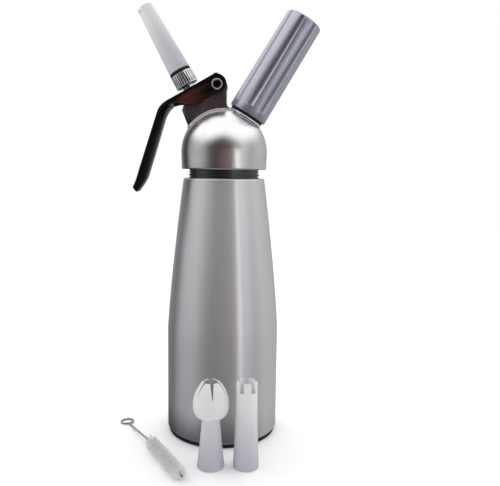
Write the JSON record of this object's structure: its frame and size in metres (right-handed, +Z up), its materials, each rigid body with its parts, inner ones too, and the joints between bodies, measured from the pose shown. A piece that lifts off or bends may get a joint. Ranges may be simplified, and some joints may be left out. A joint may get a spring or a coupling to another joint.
{
  "type": "whipped cream dispenser",
  "caption": "Aluminium bottle with a domed screw-on head, a squeeze lever valve with a slim tip, a gas bulb in a fluted holder, and spare tips and a brush beside it.",
  "frame": {"origin": "middle of the foot pad's underside, on the table", "axes": "+Z up along the bottle's axis; the decorating tip leans to -X, the gas bulb leans to +X, and the loose kit stands on the -Y side"},
  "size_m": [0.1429, 0.1271, 0.3054],
  "materials": {
    "bottle": "brushed round the bottle",
    "dome": "satin",
    "bracket": "dark satin enamel",
    "lever": "black-brown gloss enamel",
    "steel": "turned",
    "bulb_steel": "drawn and zinc plated",
    "chrome": "bright",
    "rubber": "matt black",
    "gasket": "grey silicone",
    "white_plastic": "milky white, smooth",
    "holder": "lavender grey satin",
    "brush_wire": "twisted wire",
    "bristle": "clear white nylon"
  },
  "bodies": {
    "bottle": {"bottle": "bottle", "foot_pad": "rubber"},
    "head_seal": {"head_gasket": "gasket"},
    "head": {"head_dome": "dome", "lever_bracket": "bracket", "valve_sleeve": "steel", "sleeve_nut": "steel", "stem_seal_ring": "rubber", "valve_spring": "steel", "lever_pin": "chrome", "pin_clip": "steel", "charger_port": "steel", "port_ring": "rubber", "charger_seal": "rubber", "piercing_pin": "steel", "check_valve": "rubber"},
    "lever": {"lever": "lever"},
    "valve": {"valve_stem": "steel", "valve_seal": "rubber", "seal_nut": "steel", "tip_adapter": "chrome"},
    "tip_seal": {"tip_seal": "rubber"},
    "tip": {"tip_nozzle": "white_plastic"},
    "gas_bulb": {"gas_charger": "bulb_steel"},
    "holder": {"charger_holder": "holder"},
    "tulip_tip": {"tulip_tip": "white_plastic"},
    "star_tip": {"star_tip": "white_plastic"},
    "brush": {"brush_wire": "brush_wire", "brush_bristles": "bristle"}
  },
  "joints": [
    {"name": "head_lift", "type": "slide", "parent": "bottle", "child": "head_seal", "axis": [0, 0, 1], "range_m": [0, 0.006]},
    {"name": "head_turn", "type": "hinge", "parent": "head_seal", "child": "head", "pos_m": [0, 0, 0.2035], "axis": [0, 0, 1], "range_deg": [0, 540]},
    {"name": "lever_squeeze", "type": "hinge", "parent": "head", "child": "lever", "pos_m": [-0.00488, 0, 0.24969], "axis": [0, -1, 0], "range_deg": [0, 10], "stiffness_Nm_per_rad": 1.5, "springref_deg": -11.46},
    {"name": "valve_press", "type": "slide", "parent": "head", "child": "valve", "axis": [0.4924, 0, -0.8704], "range_m": [0, 0.0033], "deforming": ["valve_spring"]},
    {"name": "tip_rise", "type": "slide", "parent": "valve", "child": "tip_seal", "axis": [-0.4924, 0, 0.8704], "range_m": [0, 0.0045]},
    {"name": "tip_turn", "type": "hinge", "parent": "tip_seal", "child": "tip", "pos_m": [-0.03191, 0, 0.2599], "axis": [-0.4924, 0, 0.8704], "range_deg": [0, 1080]},
    {"name": "bulb_rise", "type": "slide", "parent": "head", "child": "gas_bulb", "axis": [0.515, 0, 0.8572], "range_m": [0, 0.009]},
    {"name": "holder_turn", "type": "hinge", "parent": "gas_bulb", "child": "holder", "pos_m": [0.01612, 0, 0.23033], "axis": [0.515, 0, 0.8572], "range_deg": [0, 1080]},
    {"name": "tulip_lift", "type": "slide", "parent": "bottle", "child": "tulip_tip", "axis": [0, 0, 1], "range_m": [0, 0.1]},
    {"name": "star_lift", "type": "slide", "parent": "bottle", "child": "star_tip", "axis": [0, 0, 1], "range_m": [0, 0.1]},
    {"name": "brush_lift", "type": "slide", "parent": "bottle", "child": "brush", "axis": [0, 0, 1], "range_m": [0, 0.1]}
  ],
  "couplings": [
    {"joint": "head_turn", "follows": "head_lift", "rad_per_m": 1570.8},
    {"joint": "valve_press", "follows": "lever_squeeze", "m_per_rad": 0.0187},
    {"joint": "tip_turn", "follows": "tip_rise", "rad_per_m": 4188.8},
    {"joint": "holder_turn", "follows": "bulb_rise", "rad_per_m": 2094.4}
  ]
}
